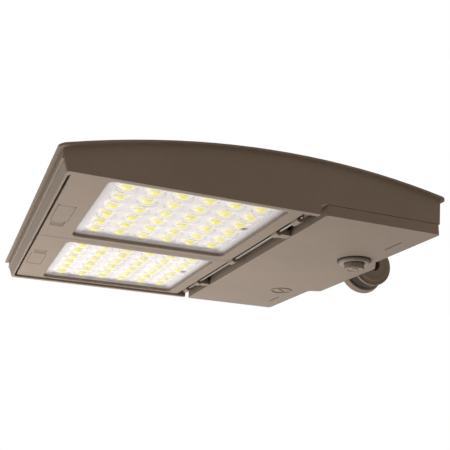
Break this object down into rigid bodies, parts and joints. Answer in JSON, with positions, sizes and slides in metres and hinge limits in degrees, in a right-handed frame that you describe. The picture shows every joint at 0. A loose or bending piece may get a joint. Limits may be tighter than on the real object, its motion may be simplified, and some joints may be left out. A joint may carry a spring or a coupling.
{
  "type": "led street light",
  "caption": "Flat arched LED area light with two optic modules, hinged driver door, plugged sensor port and tilting slip fitter.",
  "frame": {"origin": "centre of the mouth of the slip fitter's tenon socket", "axes": "+Z out of the socket's mouth, up as the light hangs in the picture; +X from the nose to the pole end; +Y away from the picture's camera, along the tilt bolt"},
  "size_m": [0.4367, 0.393, 0.1276],
  "materials": {
    "bronze_casting": "satin powder coat",
    "bronze_cover": "satin powder coat",
    "stainless": "plain",
    "zinc_bolt": "dark plated",
    "clear_lens": "clear moulded",
    "silicone": "matte",
    "white_board": "matte white",
    "led_phosphor": "matte",
    "driver_case": "satin",
    "black_plastic": "matte",
    "grey_plastic": "matte",
    "white_plastic": "matte"
  },
  "bodies": {
    "fitter": {"slip_fitter": "bronze_casting", "tenon_bolts": "stainless", "pivot_bolt": "stainless", "pivot_washer": "stainless", "pivot_nut": "stainless"},
    "head": {"housing": "bronze_casting", "cooling_fins": "bronze_casting", "knuckle_arm": "bronze_casting", "arm_bolts": "stainless", "frame_screws": "stainless", "lead_grommets": "silicone", "hinge_rod": "stainless", "led_driver": "driver_case", "driver_screws": "stainless", "surge_protector": "white_plastic", "terminal_block": "black_plastic", "optic_frame_near": "bronze_cover", "lens_near": "clear_lens", "lens_gasket_near": "silicone", "led_board_near": "white_board", "led_chips_near": "led_phosphor", "cover_pin_near": "stainless", "switch_body_near": "black_plastic", "optic_frame_far": "bronze_cover", "lens_far": "clear_lens", "lens_gasket_far": "silicone", "led_board_far": "white_board", "led_chips_far": "led_phosphor", "cover_pin_far": "stainless", "switch_body_far": "black_plastic"},
    "door": {"driver_door": "bronze_cover", "door_gasket": "silicone", "receptacle_gasket": "silicone", "receptacle_ring": "grey_plastic", "receptacle_plug": "grey_plastic", "receptacle_nut": "grey_plastic"},
    "latch": {"door_latch": "bronze_cover", "latch_tongue": "stainless", "latch_nut": "stainless"},
    "cover_near": {"selector_cover_near": "bronze_cover"},
    "knob_near": {"selector_knob_near": "white_plastic"},
    "cover_far": {"selector_cover_far": "bronze_cover"},
    "knob_far": {"selector_knob_far": "white_plastic"}
  },
  "joints": [
    {"name": "head_tilt", "type": "hinge", "parent": "fitter", "child": "head", "pos_m": [0.019, 0, -0.0972], "axis": [0, -1, 0], "range_deg": [0, 180]},
    {"name": "door_swing", "type": "hinge", "parent": "head", "child": "door", "pos_m": [-0.1563, 0, -0.1122], "axis": [0, 1, 0], "range_deg": [0, 90]},
    {"name": "latch_turn", "type": "hinge", "parent": "door", "child": "latch", "pos_m": [-0.0513, 0.089, -0.1162], "axis": [0, 0, 1], "range_deg": [0, 90]},
    {"name": "cover_near_swing", "type": "hinge", "parent": "head", "child": "cover_near", "pos_m": [-0.3613, -0.0995, -0.1124], "axis": [-1, 0, 0], "range_deg": [0, 90]},
    {"name": "knob_near_slide", "type": "slide", "parent": "head", "child": "knob_near", "axis": [0, -1, 0], "range_m": [0, 0.008]},
    {"name": "cover_far_swing", "type": "hinge", "parent": "head", "child": "cover_far", "pos_m": [-0.3613, 0.1173, -0.1124], "axis": [1, 0, 0], "range_deg": [0, 90]},
    {"name": "knob_far_slide", "type": "slide", "parent": "head", "child": "knob_far", "axis": [0, 1, 0], "range_m": [0, 0.008]}
  ]
}
